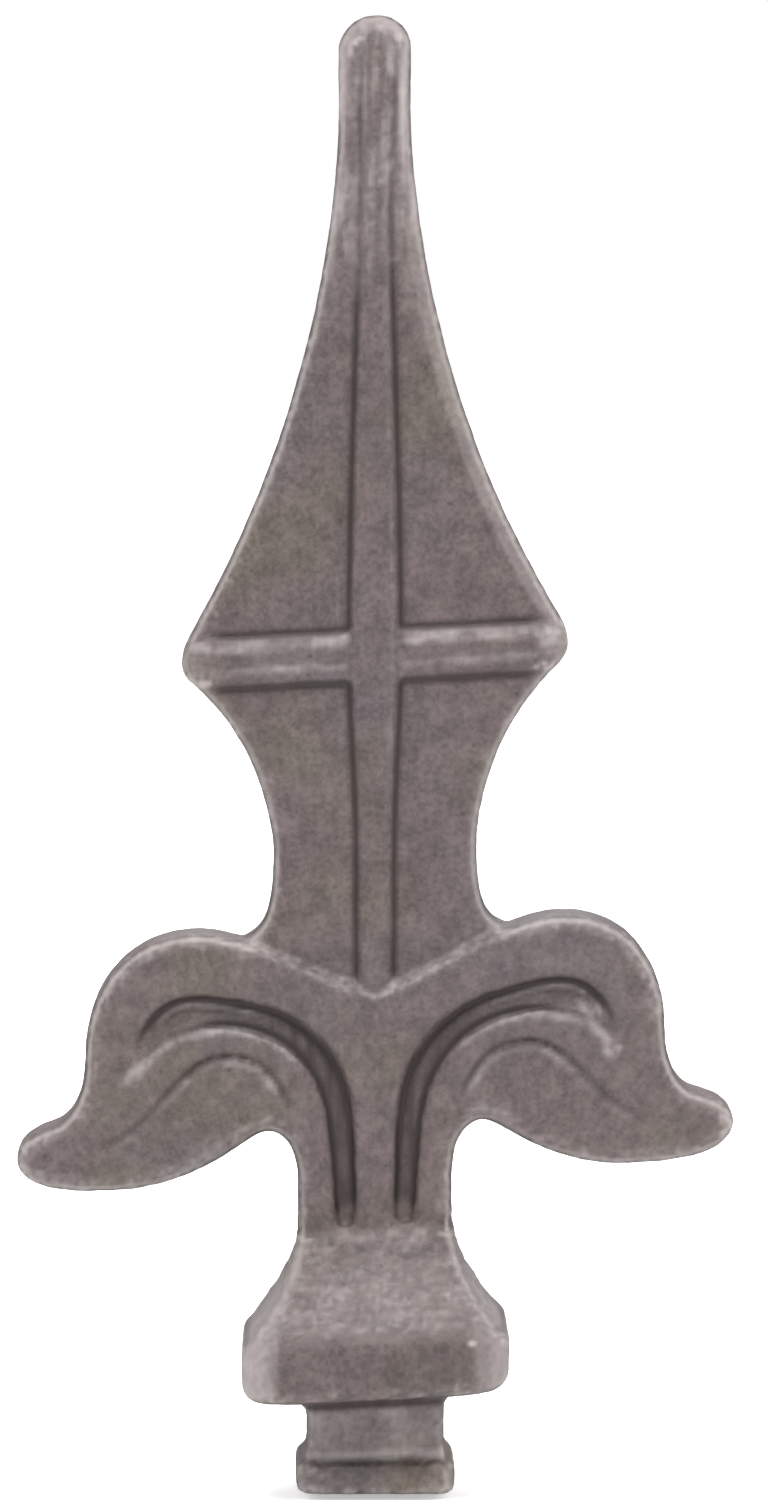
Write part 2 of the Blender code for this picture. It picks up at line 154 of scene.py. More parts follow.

# Painted shade in hollows, and rubbing with painted highlights on edges, of the true skin, over
# a short and a wide reach: the depth or height where it is full, and its strength
NEAR_HOLLOW = (0.05, 0.22)
WIDE_HOLLOW = (0.16, 0.12)
NEAR_EDGE = (0.045, 0.35)
WIDE_EDGE = (0.22, 0.30)

# Painted highlight stripes on the cross rib: distance below its upper side, spread, strength
CROSS_STRIPES = ((0.1, 0.55, 0.66), (2.4, 0.60, 0.42))

# How strong each place of painted light is, and the thin rust
ROD_RIM = 0.62
LEAF_RIM = 0.38
COLLAR_TURNED = 0.62
COLLAR_FACET = 0.52
COLLAR_SLANTED = 0.50
STUB_TURNED = 0.40
RIB_SIDE_LIGHT = 0.30
LIP_LIGHT = 0.40
LEAVES_LIGHT = 0.18
BEAD_TOP_LIGHT = 0.80
BEAD_FACE_LIGHT = 0.40
RIDGE_LIGHT = 0.70
RUST_STRENGTH = 0.18

# The iron's finish: lightening by mottle and grain, film in pits, painted shade in hollows,
# rubbing and painted highlights, painted side shade, roughness and how much duller the sides are
MOTTLE_LIGHT = (0.82, 1.18)
GRAIN_LIGHT = (0.74, 1.26)
PIT_FILM = 0.35
HOLLOW_SHADE = 0.92
HIGHLIT_AND_RUBBED = 0.70
SIDE_SHADE = 0.40
ROUGHNESS = (0.50, 0.68)
SIDE_DULLNESS = 1.35

# Sockets of a Mix node that mixes colours: factor, both colours and the result
MIX_FACTOR, MIX_FIRST, MIX_SECOND, MIX_RESULT = 0, 6, 7, 2


class LeafMark(NamedTuple):
    """A mark along one of the leaf's lines: relief in millimetres, painted shade or a painted
    highlight.

    Off is how far it lies to the right of the line as the line runs, and start and end are
    soft edges in shares of the line.
    """

    line: str
    off: float
    spread: float
    start: tuple
    end: tuple
    strength: float


# Relief along the leaf's lines, sunk where the strength is above zero
LEAF_RELIEF = (
    LeafMark("vein", 0.0, 0.32, (0.0, 0.12), (0.86, 1.0), 0.16),
    LeafMark("outer", 0.35, 0.35, (0.0, 0.05), (0.93, 1.0), 0.20),
    LeafMark("inner", -0.30, 0.30, (0.0, 0.05), (0.90, 1.0), 0.16),
    LeafMark("inner", 0.60, 0.35, (0.30, 0.50), (0.90, 1.0), -0.10),
)
# Painted shade along the leaf's lines: both lips of its channel, a crest in the channel and the
# vein
LEAF_SHADE = (
    LeafMark("outer", 0.22, 0.32, (0.0, 0.04), (0.86, 1.0), 1.0),
    LeafMark("inner", -0.22, 0.30, (0.0, 0.04), (0.70, 0.95), 0.92),
    LeafMark("outer", 1.35, 0.20, (0.40, 0.55), (0.80, 0.92), 0.62),
    LeafMark("vein", 0.0, 0.26, (0.0, 0.12), (0.88, 1.0), 0.80),
)
# Painted highlights beside those lines
LEAF_HIGHLIGHT = (
    LeafMark("inner", 0.55, 0.38, (0.30, 0.45), (1.0, 1.1), 0.60),
    LeafMark("outer", 0.85, 0.22, (0.40, 0.55), (0.80, 0.92), 0.45),
    LeafMark("vein", 0.70, 0.38, (0.0, 0.12), (0.88, 1.0), 0.52),
)
# Stretches of the right leaf's lines: start, heading in degrees and pull there, the same for
# the end, and the number of steps
LEAF_LINES = {
    "outer": (
        ((1.9, 27.5), 88, 4.0, (2.9, 40.5), 76, 3.5, 8),
        ((2.9, 40.5), 76, 4.2, (11.9, 49.4), 14, 4.2, 12),
        ((11.9, 49.4), 14, 2.6, (18.4, 50.6), 0, 2.2, 8),
        ((18.4, 50.6), 0, 3.4, (24.5, 44.0), -84, 3.0, 10),
    ),
    "inner": (
        ((3.9, 27.0), 88, 4.0, (5.3, 40.2), 72, 3.5, 8),
        ((5.3, 40.2), 72, 3.0, (11.9, 46.9), 18, 3.4, 10),
        ((11.9, 46.9), 18, 3.0, (18.9, 47.2), -8, 2.6, 8),
        ((18.9, 47.2), -8, 1.6, (22.9, 44.8), -48, 1.6, 6),
    ),
    "vein": (
        ((8.3, 38.0), 84, 1.8, (11.4, 43.5), 36, 1.8, 6),
        ((11.4, 43.5), 36, 1.6, (15.6, 44.5), 0, 1.8, 6),
        ((15.6, 44.5), 0, 2.6, (23.2, 38.6), -44, 2.6, 10),
        ((23.2, 38.6), -44, 1.8, (28.6, 35.6), -22, 1.8, 6),
    ),
}
# Painted glints on the front: x, z, reach and strength
GLINTS = (
    (9.6, 15.6, 0.35, 0.9),
    (7.1, 20.0, 0.30, 0.8),
    (0.3, 17.4, 0.30, 0.6),
    (-5.2, 2.2, 0.30, 0.6),
    (0.8, 145.9, 0.35, 0.9),
    (2.5, 145.1, 0.55, 0.8),
    (-1.9, 145.0, 0.70, 0.8),
    (-2.6, 143.6, 0.50, 0.6),
    (0.6, 130.8, 0.20, 0.8),
    (0.6, 126.4, 0.22, 0.9),
    (0.6, 124.6, 0.26, 0.8),
    (2.0, 123.2, 0.26, 0.6),
    (-23.6, 43.6, 0.80, 0.55),
    (-24.8, 42.4, 0.60, 0.50),
    (-29.6, 39.4, 0.60, 0.45),
    (-27.4, 40.4, 0.35, 0.50),
    (22.4, 47.2, 0.60, 0.45),
    (24.4, 43.4, 0.50, 0.50),
    (31.4, 38.2, 0.60, 0.40),
    (-2.9, 85.6, 0.40, 0.70),
    (10.8, 79.8, 0.22, 0.45),
)
# Short ridges on the front where a channel runs out: both ends and strength
RIDGES = (
    ((19.6, 48.6), (22.4, 45.9), 0.8),
    ((20.6, 46.9), (24.4, 43.0), 1.0),
    ((22.2, 44.4), (24.3, 41.6), 0.9),
    ((-22.6, 45.2), (-24.0, 41.9), 1.0),
    ((-23.9, 44.4), (-25.4, 41.4), 0.9),
    ((-25.2, 40.4), (-29.4, 36.6), 0.45),
    ((-26.6, 37.4), (-32.2, 35.0), 0.35),
    ((24.6, 40.8), (29.8, 36.2), 0.40),
    ((26.4, 37.2), (32.6, 35.2), 0.35),
)

# Lamps: name, place, what it points at, width and height in metres, and power in watts
MIDDLE = (0.0, 0.0, 0.07)
LAMPS = (
    ("right_side", (0.80, 0.05, 0.35), MIDDLE, (0.5, 0.9), 6.0),
    ("left_side", (-0.80, 0.05, 0.35), MIDDLE, (0.5, 0.9), 4.6),
    ("over", (0.0, -0.35, 0.95), MIDDLE, (0.5, 0.4), 13.0),
    ("behind", (0.0, 0.80, 0.75), MIDDLE, (0.6, 0.4), 6.0),
    ("front_low", (0.10, -0.90, 0.06), (0.0, 0.0, 0.02), (0.6, 0.3), 1.5),
)
CAMERA_AIM = Vector((0.000925, 0.0, 0.07402))
FLOOR_CORNERS = 96
# The floor's own glow near the casting and far off, and how far off those are in metres
FLOOR_GLOW = (0.42, 1.0)
GLOW_REACH = (0.3, 1.3)


class CastingSizes(bpy.types.PropertyGroup):
    """Sizes of the casting and of its relief."""

    grain_size: bpy.props.FloatProperty(
        name="Skin resolution",
        description="Edge length of the fine skin's faces",
        default=0.00039,
        unit="LENGTH",
    )
    softening: bpy.props.IntProperty(
        name="Softening",
        description="How many times the cast edges are smoothed",
        default=3,
    )
    lean: bpy.props.FloatProperty(
        name="Lean",
        description="Rise of level lines for each unit to the right",
        default=0.0525,
    )
    lean_start: bpy.props.FloatProperty(
        name="Lean start",
        description="Height where the lean begins",
        default=0.0010,
        unit="LENGTH",
    )
    lean_end: bpy.props.FloatProperty(
        name="Lean end",
        description="Height where the lean is full",
        default=0.0096,
        unit="LENGTH",
    )
    rib_half_width: bpy.props.FloatProperty(
        name="Rib half width",
        description="Half width of the upright rib at the cross rib",
        default=0.0025,
        unit="LENGTH",
    )
    cross_height: bpy.props.FloatProperty(
        name="Cross rib height",
        description="Height of the cross rib's middle",
        default=0.0837,
        unit="LENGTH",
    )
    cross_half: bpy.props.FloatProperty(
        name="Cross rib half height",
        description="From the cross rib's middle to its edge",
        default=0.00253,
        unit="LENGTH",
    )
    groove_depth: bpy.props.FloatProperty(
        name="Groove depth",
        description="Depth of the grooves beside the ribs",
        default=0.00035,
        unit="LENGTH",
    )
    groove_width: bpy.props.FloatProperty(
        name="Groove width",
        description="Spread of the grooves beside the ribs",
        default=0.00030,
        unit="LENGTH",
    )


class CastingStage(bpy.types.PropertyGroup):
    """Sizes and light of the stage."""

    floor_radius: bpy.props.FloatProperty(
        name="Floor radius",
        description="How far the floor runs",
        default=6.0,
        unit="LENGTH",
    )
    floor_gap: bpy.props.FloatProperty(
        name="Floor gap",
        description="Gap under the stub's end",
        default=0.0005,
        unit="LENGTH",
    )
    room_light: bpy.props.FloatProperty(
        name="Room light",
        description="Strength of the soft light from all sides",
        default=0.45,
    )
    camera_turn: bpy.props.FloatProperty(
        name="Camera turn",
        description="How far the camera stands round from the front",
        default=math.radians(-0.4),
        subtype="ANGLE",
    )
    camera_reach: bpy.props.FloatProperty(
        name="Camera distance",
        description="Distance of the camera along the floor",
        default=0.78,
        unit="LENGTH",
    )
    camera_height: bpy.props.FloatProperty(
        name="Camera height",
        description="Height of the camera above the stub's end",
        default=0.1244,
        unit="LENGTH",
    )
    camera_lens: bpy.props.FloatProperty(
        name="Camera lens",
        description="Focal length in millimetres",
        default=187.4,
    )


class CastingColours(bpy.types.PropertyGroup):
    """Colours of the iron and of the stage."""

    iron: bpy.props.FloatVectorProperty(
        name="Iron",
        description="Main colour",
        subtype="COLOR",
        size=3,
        default=(0.080, 0.0605, 0.0600),
    )
    iron_cool: bpy.props.FloatVectorProperty(
        name="Cool iron",
        description="Cooler patches",
        subtype="COLOR",
        size=3,
        default=(0.074, 0.0595, 0.0630),
    )
    iron_olive: bpy.props.FloatVectorProperty(
        name="Olive iron",
        description="Greenish patches",
        subtype="COLOR",
        size=3,
        default=(0.078, 0.0640, 0.0550),
    )
    rust: bpy.props.FloatVectorProperty(
        name="Rust",
        description="Thin rust on the bead",
        subtype="COLOR",
        size=3,
        default=(0.200, 0.135, 0.095),
    )
    # Colour of the painted shade in hollows and on the sides, and of the film in pits
    shade_and_film: bpy.props.FloatVectorProperty(
        name="Hollow",
        description="Dark film in hollows",
        subtype="COLOR",
        size=3,
        default=(0.014, 0.008, 0.008),
    )
    # Colour of the painted highlights, with rubbing on the edges
    highlight_and_worn: bpy.props.FloatVectorProperty(
        name="Worn edge",
        description="Rubbed edges and light scale",
        subtype="COLOR",
        size=3,
        default=(0.36, 0.325, 0.32),
    )
    ground: bpy.props.FloatVectorProperty(
        name="Ground",
        description="Floor",
        subtype="COLOR",
        size=3,
        default=(0.95, 0.95, 0.95),
    )


def sizes():
    """The sizes that the sidebar shows."""
    return bpy.context.scene.casting_sizes


def colours():
    """The colours that the sidebar shows."""
    return bpy.context.scene.casting_colours


def smooth(low, high, value):
    """0 below low, 1 above high and an S curve between, also for arrays."""
    t = np.clip((value - low) / (high - low), 0.0, 1.0)
    return t * t * (3 - 2 * t)


def between(value, start, end):
    """1 between two soft edges and 0 outside."""
    return smooth(*start, value) * (1 - smooth(*end, value))


def bell(off, width):
    """1 on a line and less with the distance from it."""
    return np.exp(-((off / width) ** 2) / 2)


def strongest(*masks):
    """The highest of several masks at each point."""
    out = masks[0]
    for mask in masks[1:]:
        out = np.maximum(out, mask)
    return out


def curve(start, leave, leave_reach, end, arrive, arrive_reach, steps):
    """Points of a smooth curve on the face, with both ends."""
    a = math.radians(leave)
    b = math.radians(arrive)
    first = np.array(start, float)
    last = np.array(end, float)
    second = first + leave_reach * np.array([math.cos(a), math.sin(a)])
    third = last - arrive_reach * np.array([math.cos(b), math.sin(b)])
    t = np.linspace(0, 1, steps + 1)[:, None]
    s = 1 - t
    return s**3 * first + 3 * s * s * t * second + 3 * s * t * t * third + t**3 * last


def leaf_line(name):
    """One of the right leaf's lines as points."""
    stretches = [curve(*stretch) for stretch in LEAF_LINES[name]]
    return np.concatenate(stretches[:1] + [points[1:] for points in stretches[1:]])


def along(points, path):
    """Signed distance of each point to a path and how far along it lies, 0 to 1."""
    best = np.full(len(points), np.inf)
    side = np.zeros(len(points))
    share = np.zeros(len(points))
    last = len(path) - 1
    for i in range(last):
        a = path[i]
        d = path[i + 1] - a
        t = np.clip(((points - a) @ d) / (d @ d), 0.0, 1.0)
        off = points - a - t[:, None] * d
        far = np.hypot(off[:, 0], off[:, 1])
        near = far < best
        best[near] = far[near]
        cross = d[0] * off[:, 1] - d[1] * off[:, 0]
        side[near] = np.sign(cross[near])
        share[near] = (i + t[near]) / last
    return best * np.where(side == 0, 1, side), share


def read_vertices(mesh):
    """Places and normals of a mesh's vertices as arrays."""
    count = len(mesh.vertices)
    place = np.empty(count * 3)
    mesh.vertices.foreach_get("co", place)
    normal = np.empty(count * 3)
    mesh.vertex_normals.foreach_get("vector", normal)
    return place.reshape(-1, 3), normal.reshape(-1, 3)


def write_vertices(mesh, place):
    """Puts a mesh's vertices at new places."""
    mesh.vertices.foreach_set("co", place.ravel())
    mesh.update()


def neighbour_mean(mesh, values, rounds):
    """Values of the vertices averaged over their neighbours, a number of times."""
    ends = np.empty(len(mesh.edges) * 2, dtype=np.int64)
    mesh.edges.foreach_get("vertices", ends)
    a = ends[0::2]
    b = ends[1::2]
    count = len(mesh.vertices)
    degree = np.bincount(a, minlength=count) + np.bincount(b, minlength=count)
    out = values.copy()
    for _ in range(rounds):
        fresh = np.empty_like(out)
        for k in range(out.shape[1]):
            total = np.bincount(a, out[b, k], count) + np.bincount(b, out[a, k], count)
            fresh[:, k] = total / degree
        out = 0.5 * out + 0.5 * fresh
    return out


def fine_skin(cad_node, name):
    """An even, fine and softened skin over a merged copy of a CAD node."""
    bm = bmesh.new()
    bm.from_mesh(cad_node.data)
    bmesh.ops.remove_doubles(bm, verts=bm.verts, dist=1e-7)
    bmesh.ops.recalc_face_normals(bm, faces=bm.faces)
    mesh = bpy.data.meshes.new(name)
    bm.to_mesh(mesh)
    bm.free()
    skin = bpy.data.objects.new(name, mesh)
    bpy.context.scene.collection.objects.link(skin)
    remesh = skin.modifiers.new("even skin", "REMESH")
    remesh.mode = "VOXEL"
    remesh.voxel_size = sizes().grain_size
    depsgraph = bpy.context.evaluated_depsgraph_get()
    even = bpy.data.meshes.new_from_object(skin.evaluated_get(depsgraph))
    skin.modifiers.remove(remesh)
    skin.data = even
    bpy.data.meshes.remove(mesh)
    bm = bmesh.new()
    bm.from_mesh(even)
    for _ in range(sizes().softening):
        bmesh.ops.smooth_vert(
            bm, verts=bm.verts, factor=0.5, use_axis_x=True, use_axis_y=True, use_axis_z=True
        )
    bm.to_mesh(even)
    bm.free()
    return skin


def rib_half_width(z):
    """Half width of the upright rib at a height."""
    widest = sizes().rib_half_width / MM
    up = RIB_AT_TIP + (widest - RIB_AT_TIP) * (1 - smooth(RIB_WIDEST, RIB_TOP, z))
    down = RIB_AT_LEAVES + (widest - RIB_AT_LEAVES) * smooth(RIB_NARROW, RIB_WIDEST, z)
    return np.where(z > RIB_WIDEST, up, down)


def face_points(place):
    """Places on the face: x and z without the lean."""
    s = sizes()
    rise = s.lean * smooth(s.lean_start, s.lean_end, place[:, 2])
    return place[:, 0] / MM, (place[:, 2] - rise * place[:, 0]) / MM


def relief_lines(x, z):
    """The ribs' grooves, 0 to 1, and the distance to each of the leaf's lines."""
    s = sizes()
    across = np.abs(x)
    width = s.groove_width / MM
    cross_half = s.cross_half / MM
    gap = np.abs(z - s.cross_height / MM)
    clear = smooth(cross_half - 0.5, cross_half + 0.3, gap)
    on_blade = between(z, (50.5, 52), (138, 142)) * (1 - 0.75 * smooth(118, 134, z))
    on_rib = between(across, (2.2, 2.9), (15.0, 17.2))
    point = np.stack([across, z], 1)
    lines = {name: along(point, leaf_line(name)) for name in LEAF_LINES}
    lines["upright"] = bell(across - rib_half_width(z) - GROOVE_GAP, width) * on_blade * clear
    lines["level"] = bell(gap - cross_half - GROOVE_GAP, width) * on_rib
    lines["in_leaf"] = 1 - smooth(*LEAVES_END, z)
    return lines


def mark_strength(mark, lines):
    """How strong a mark of the leaf is at each point."""
    off, share = lines[mark.line]
    return mark.strength * bell(off + mark.off, mark.spread) * between(share, mark.start, mark.end)


def relief(lines):
    """How far each point of the face sinks towards the middle plane."""
    sunk = sizes().groove_depth / MM * np.maximum(lines["upright"], lines["level"])
    for mark in LEAF_RELIEF:
        sunk += mark_strength(mark, lines) * lines["in_leaf"]
    off, share = lines["vein"]
    field = between(-off, (-0.2, 0.5), (1.6, 7.5)) * between(share, (0.0, 0.12), (0.86, 1.0))
    sunk += FIELD_DEPTH * field * lines["in_leaf"]
    # The bed of the channel is shallow and swells along its middle
    off, share = lines["outer"]
    bed = smooth(-0.1, 0.5, -off) * between(share, (0.0, 0.05), (0.93, 1.0))
    bed *= smooth(-0.1, 0.4, lines["inner"][0])
    sunk -= BED_SWELL * bed * lines["in_leaf"]
    return sunk


def build_up(x, y, z):
    """Half thickness, with the cross rib run out into both corners and the rod's round head."""
    s = sizes()
    half = np.abs(y) / MM
    across = np.abs(x)
    gap = (z - s.cross_height / MM) / (s.cross_half / MM)
    corner = smooth(14.8, 15.8, across) * (1 - smooth(0.75, 1.1, np.abs(gap)))
    target = CORNER_HALF_THICKNESS - CORNER_THINNING * smooth(16.5, 19.2, across)
    half = half + np.clip(target - half, 0, None) * corner
    # A faint crease runs along the cross rib, just below its middle
    on_rib = between(across, (2.6, 3.4), (16.5, 18.0))
    half = half - CREASE_DEPTH * bell(gap + 0.12, 0.16) * on_rib
    # The rod's round head melts into the tip
    above = np.clip(z - DOME_START, 0, None) / HEAD_HALF_THICKNESS
    fullness = np.clip(1 - (across / HEAD_HALF_WIDTH) ** 2 - above**2, 0.03, None)
    dome = HEAD_HALF_THICKNESS * np.sqrt(fullness)
    return half + (dome - half) * smooth(132.0, 141.0, z) * HEAD_SHARE


def ridge_strength(x, z, normal):
    """How strongly each point of the front lies on one of the short ridges, 0 to 1."""
    out = np.zeros(len(x))
    point = np.stack([x, z], 1)
    for start, end, strength in RIDGES:
        off, share = along(point, np.array((start, end)))
        taper = np.sin(np.pi * np.clip(share, 0.0, 1.0)) ** 0.8
        out = np.maximum(out, strength * bell(off, RIDGE_SPREAD) * taper)
    return out * (normal[:, 1] < -0.3)


def cast_relief(mesh, x, z, lines):
    """Raises and sinks the front and the back, and rounds the collar's upper edge."""
    place, normal = read_vertices(mesh)
    flat = np.abs(normal[:, 1])
    built = build_up(x, place[:, 1], z) * MM - np.abs(place[:, 1])
    place[:, 1] += np.sign(place[:, 1]) * (built * smooth(0.1, 0.4, flat))
    sunk = relief(lines) - RIDGE_HEIGHT * ridge_strength(x, z, normal)
    place[:, 1] -= np.sign(place[:, 1]) * sunk * smooth(0.45, 0.85, flat) * MM
    round_edge = bell(z - COLLAR_EDGE, ROUND_EDGE) * (np.abs(x) < ROUND_REACH)
    place += (neighbour_mean(mesh, place, ROUND_TIMES) - place) * round_edge[:, None]
    write_vertices(mesh, place)


def rough_iron(place):
    """Swell and pits of the sand-cast surface, along the normal and in millimetres."""
    out = np.empty(len(place))
    z = place[:, 2] / MM
    slope = smooth(14, 19, z) * (1 - smooth(24, 30, z))
    for i, p in enumerate(place):
        v = Vector(p) / MM
        out[i] = sum(height * noise.noise(v * scale + at) for scale, at, height in SKIN_LAYERS)
    return out * (SKIN_STRENGTH + SLOPE_STRENGTH * slope) - SKIN_DROP


def cast_grain(mesh):
    """Roughens the skin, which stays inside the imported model's box."""
    place, normal = read_vertices(mesh)
    place += normal * (rough_iron(place) * MM)[:, None]
    write_vertices(mesh, np.clip(place, np.array(LOW), np.array(HIGH)))


def by_depth(depth, full):
    """Painted shade and painted highlight, growing with a depth up to where it is full."""
    reach, strength = full
    return np.clip(depth / reach, 0, 1) * strength


def patchy(place, scale, stretch=(1.0, 1.0, 1.0)):
    """Soft noise between 0 and 1.6 that breaks painted light and wear into patches."""
    out = np.empty(len(place))
    for i, p in enumerate(place * np.array(stretch)):
        out[i] = noise.noise(Vector(p) * (scale / MM) + PATCH_PLACE)
    return np.clip(0.8 + 1.5 * out, 0, 1.6)


def inward(place, normal):
    """Distance in millimetres from each point to the casting's outline, seen from the front."""
    rim = np.nonzero(np.abs(normal[:, 1]) < 0.25)[0]
    tree = kdtree.KDTree(len(rim))
    for i in rim:
        tree.insert(Vector((place[i, 0], 0.0, place[i, 2])), int(i))
    tree.balance()
    out = np.empty(len(place))
    for i, p in enumerate(place):
        out[i] = tree.find(Vector((p[0], 0.0, p[2])))[2]
    return out / MM


class SkinPoints:
    """The skin's points, with all that their painted light and wear are worked out from."""

    def __init__(self, mesh, x, z, lines):
        place, normal = read_vertices(mesh)
        self.place = place
        self.normal = normal
        self.lines = lines
        self.x = x
        self.z = z
        self.across = np.abs(x)
        # Which way each point looks: to the front or back, to a side, and upwards
        self.flat = np.abs(normal[:, 1])
        self.turned = np.abs(normal[:, 0])
        self.upward = normal[:, 2]
        self.facing = smooth(0.25, 0.7, self.flat)
        self.top = smooth(0.2, 0.7, self.upward)
        # Which part of the casting each point is on
        self.right = smooth(-2, 2, x)
        self.stub = 1 - smooth(*STUB_END, z)
        self.collar = between(z, COLLAR_START, COLLAR_END)
        self.carved = lines["in_leaf"] * self.facing
        self.blade = smooth(*BLADE_START, z)
        self.leaves = (1 - self.blade) * smooth(*LEAVES_START, z)
        self.rod = smooth(*ROD_START, z) * self.facing
        self.bed = self.channel_bed()
        # How far in from the outline, and how hollow over a short and a wide reach
        self.depth = inward(place, normal)
        self.near = ((neighbour_mean(mesh, place, 3) - place) * normal).sum(1) / MM
        self.wide = ((neighbour_mean(mesh, place, 16) - place) * normal).sum(1) / MM
        # Patches that break the painted light and wear up
        self.streaks = patchy(place, 1.3, stretch=(1.0, 0.0, 0.10))
        self.mottle = 0.70 + 0.30 * patchy(place, 1.0, stretch=(0.4, 1.0, 1.0))
        self.broken = 0.35 + 0.8 * patchy(place, 1.9)
        self.patches = patchy(place, 0.35)

    def channel_bed(self):
        """The beds of the leaves' channels."""
        off, share = self.lines["outer"]
        bed = smooth(-0.1, 0.3, -off) * between(share, (0.0, 0.04), (0.86, 1.0))
        return bed * smooth(-0.1, 0.3, self.lines["inner"][0]) * self.carved

    def leaf_marks(self, marks):
        """The strongest of the leaf's marks. The vein fades towards the leaf's end."""
        out = np.zeros(len(self.x))
        for mark in marks:
            strength = mark_strength(mark, self.lines) * self.carved
            if mark.line == "vein":
                share = self.lines["vein"][1]
                strength = strength * (1 - 0.35 * smooth(0.55, 0.75, share))
            out = np.maximum(out, strength)
        return out


def rib_shade(p):
    """Painted shade in the grooves beside both ribs and in the shallow fold along the cross rib.
    """
    grooves = np.maximum(p.lines["upright"] ** 1.5, 0.90 * p.lines["level"])
    fold = bell(p.z - sizes().cross_height / MM + 0.42, 0.20)
    fold = fold * between(p.across, (2.4, 3.4), (15.5, 17.5)) * p.mottle
    return np.maximum(GROOVE_DARK * grooves, FOLD_DARK * fold) * p.facing


def bed_shade(p):
    """Painted shade in the channels' beds, darker and streaked in their lower half."""
    low = 1 - smooth(0.35, 0.62, p.lines["outer"][1])
    return (0.20 + (0.16 + 0.26 * p.streaks) * low) * p.bed


def rod_shade(p):
    """Painted shade in streaks down the rod under the tip: beside its rib and over its middle."""
    rib_edge = rib_half_width(p.z) + GROOVE_GAP
    left = bell(p.x + rib_edge, 0.28)
    right = bell(p.x - rib_edge - 0.5 * smooth(126, 142, p.z), 0.26)
    sides = np.maximum(left, right) * (1 - smooth(144, 145.6, p.z)) * (0.45 + 0.55 * p.streaks)
    middle = smooth(1.0, 1.5, p.streaks) * (p.across < 3.0)
    return np.maximum(ROD_SIDES_DARK * sides, ROD_STREAKS_DARK * middle) * p.rod


def base_shade(p):
    """Painted shadow in the seam under the collar, shade in the bead's crease and band blotches.
    """
    seam = bell(p.z - COLLAR_SEAM, 0.35) * (p.across < 8.2)
    crease = bell(p.z - BEAD_CREASE, 0.16) * between(p.x, (-5.5, -4.0), (1.5, 3.5))
    band = between(p.z, BAND_START, BAND_END) * (p.across < 9.5) * p.facing
    blotches = band * smooth(0.7, 1.3, patchy(p.place, 0.30))
    return strongest(SEAM_DARK * seam, CREASE_DARK * crease, BLOTCHES_DARK * blotches)


def outline_shade(p):
    """Thin painted shade along the outline, weaker at the base and on what looks upwards."""
    outline = (1 - smooth(0.12, 0.30, p.depth)) * (0.7 + 0.3 * smooth(*LEAVES_START, p.z))
    return (0.35 * (1 - p.top) + 0.5 * smooth(0.0, 0.2, p.flat)) * outline


def hollow_shade(p):
    """Painted shade in the true hollows of the skin, weaker on the stub."""
    film = by_depth(p.near, NEAR_HOLLOW) + by_depth(p.wide, WIDE_HOLLOW)
    return film * (1 - 0.9 * p.stub)


def collar_highlights(p):
    """Painted highlights on the sides of the collar, of its slope and of the stub."""
    turned = smooth(0.12, 0.42, p.turned) * smooth(5.5, 7.0, p.across)
    turned = turned * (0.35 + 0.65 * smooth(0.05, 0.30, p.flat))
    facet_edge = 9.5 - 0.22 * np.clip(p.z - COLLAR_EDGE, 0, 8)
    facet = smooth(-0.9, 1.0, p.across - facet_edge) * (p.flat > 0.1)
    slanted = smooth(0.35, 0.65, p.turned) * between(p.z, (15.5, 17.0), (20.0, 25.0))
    band = np.maximum(COLLAR_TURNED * turned, COLLAR_FACET * facet) * (1 - 0.2 * p.right)
    collar = np.maximum(band, COLLAR_SLANTED * slanted) * p.collar
    return np.maximum(collar, STUB_TURNED * turned * p.stub)


def rim_highlights(p):
    """Painted highlights just inside the outline of the blade, the rod, the leaves and the collar.
    """
    width = (1.0 + 1.1 * p.right * smooth(80, 90, p.z)) * (1 - 0.35 * smooth(120, 140, p.z))
    blade = p.blade * (1 - smooth(width - 0.7, width + 0.25, p.depth)) * (0.34 + 0.06 * p.right)
    rod = smooth(116, 130, p.z) * (1 - smooth(0.9, 1.5, p.depth)) * (0.45 + 0.55 * p.streaks)
    up = smooth(-0.1, 0.5, p.upward)
    leaves = p.leaves * (1 - smooth(0.9, 1.9, p.depth)) * (0.25 + 0.75 * up)
    line = between(p.depth, (0.18, 0.32), (0.50, 0.85)) * smooth(11, 12, p.z)
    line = line * (0.50 + 0.22 * up)
    rims = strongest(blade, ROD_RIM * rod, LEAF_RIM * leaves, line, collar_highlights(p))
    side = smooth(27, 30, p.z) * (1 - smooth(0.05, 0.30, p.flat))
    return rims * (0.75 + 0.25 * p.broken) * (1 - 0.75 * side)


def edge_light(p):
    """Bare iron and painted highlights on the skin's true edges, near the outline, not in
    channels.
    """
    convex = by_depth(-p.near, NEAR_EDGE) + by_depth(-p.wide, WIDE_EDGE)
    zone = (1 - smooth(1.2, 2.4, p.depth)) * (1 - 0.8 * p.bed)
    return np.clip(convex * zone * p.broken, 0, 0.8)


def cross_rib_highlights(p):
    """Painted highlights along the cross rib: two stripes, and its ends, most of all the right
    one.
    """
    top = (sizes().cross_height + 0.62 * sizes().cross_half) / MM
    stripes = 0.0
    for below, spread, strength in CROSS_STRIPES:
        stripes = stripes + strength * bell(p.z - top + below, spread)
    ends = (0.34 + 0.30 * p.right) * smooth(15.2, 17.4, p.across) * bell(p.z - top + 1.2, 1.2)
    span = (0.40 + 0.60 * smooth(2.3, 3.2, p.across)) * (1 - smooth(18.3, 19.2, p.across))
    return np.maximum(stripes * p.mottle, ends) * span


